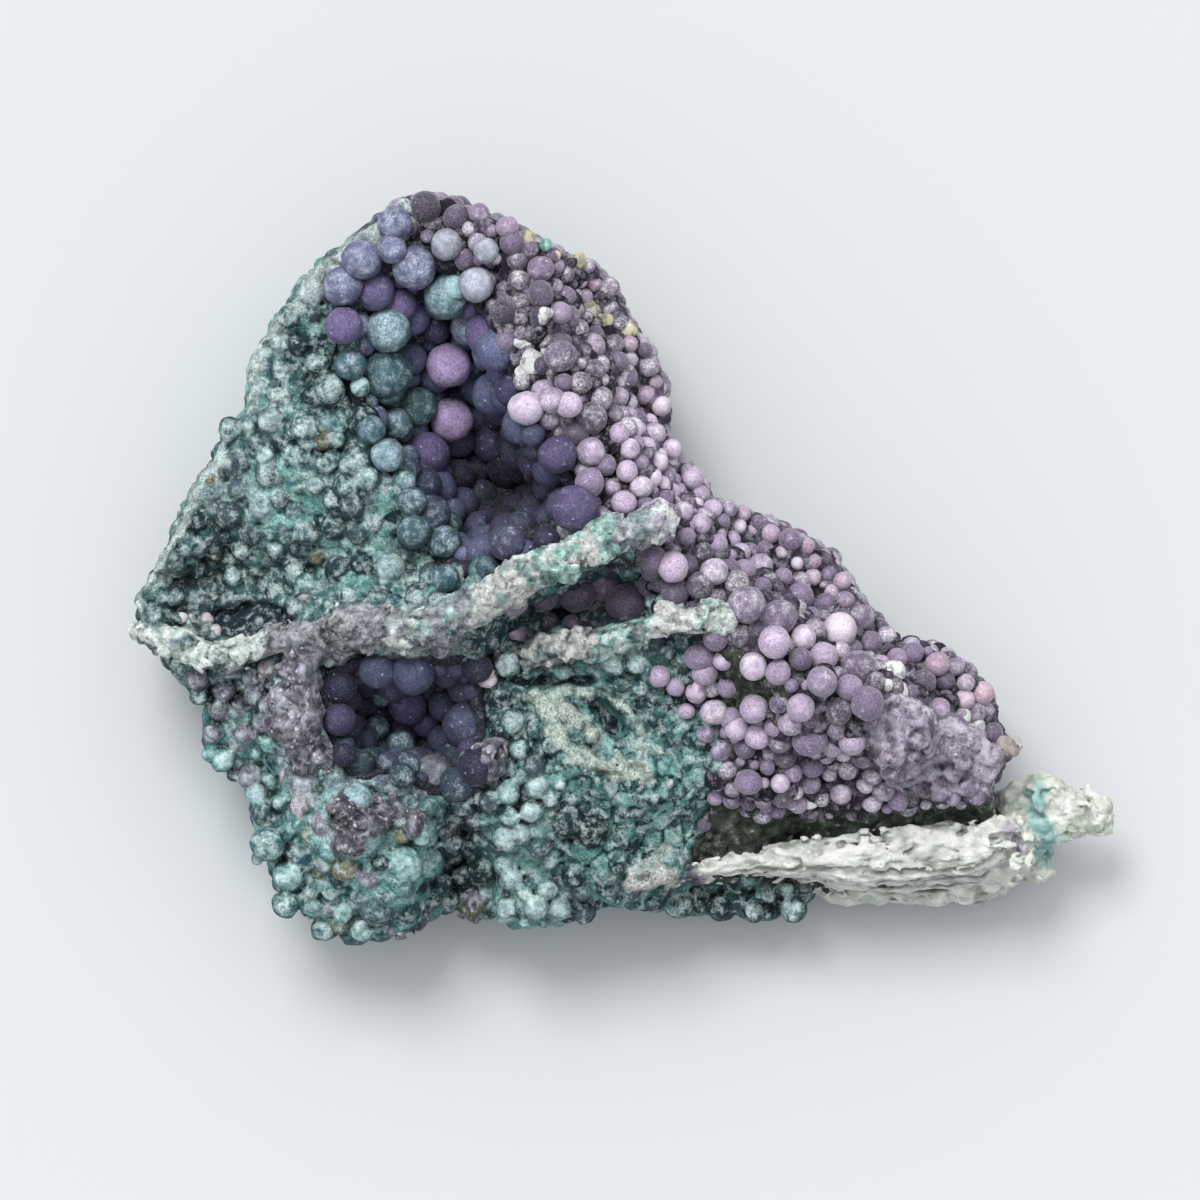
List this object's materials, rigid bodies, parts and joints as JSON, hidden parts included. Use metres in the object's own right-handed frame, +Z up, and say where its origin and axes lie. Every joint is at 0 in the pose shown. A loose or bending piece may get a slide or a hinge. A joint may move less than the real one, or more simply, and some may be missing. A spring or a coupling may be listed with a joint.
{
  "type": "botryoidal chalcedony specimen",
  "caption": "Hand specimen of botryoidal chalcedony: purple and blue-green grape-like spheres over a rock with two open hollows, broken ridges and a pale layered ledge.",
  "frame": {"origin": "below the middle of the specimen, in the plane of the flat face that it rests on", "axes": "+Z up out of the side that shows the grapes and hollows; +X from the pointed left end towards the spur; +Y towards the rounded top of the upper hollow"},
  "size_m": [0.1471, 0.1116, 0.0503],
  "materials": {
    "rock": "rough blue-green and mint stained rock with a sugary, frosted crust of tiny quartz crystals",
    "hollow_grapes": "frosted blue-purple chalcedony spheres, slightly translucent, soft sheen",
    "purple_grapes": "frosted lilac to dark purple chalcedony spheres with a sugary surface, slightly translucent",
    "pale_ledge": "cream, layered and rough, like old plaster, with greenish lobes below",
    "druse": "grey-lilac sparkling quartz druse on the broken ridges"
  },
  "bodies": {
    "root": {"rock": "rock", "upper_hollow_crust": "hollow_grapes", "lower_hollow_crust": "hollow_grapes"}
  },
  "joints": []
}
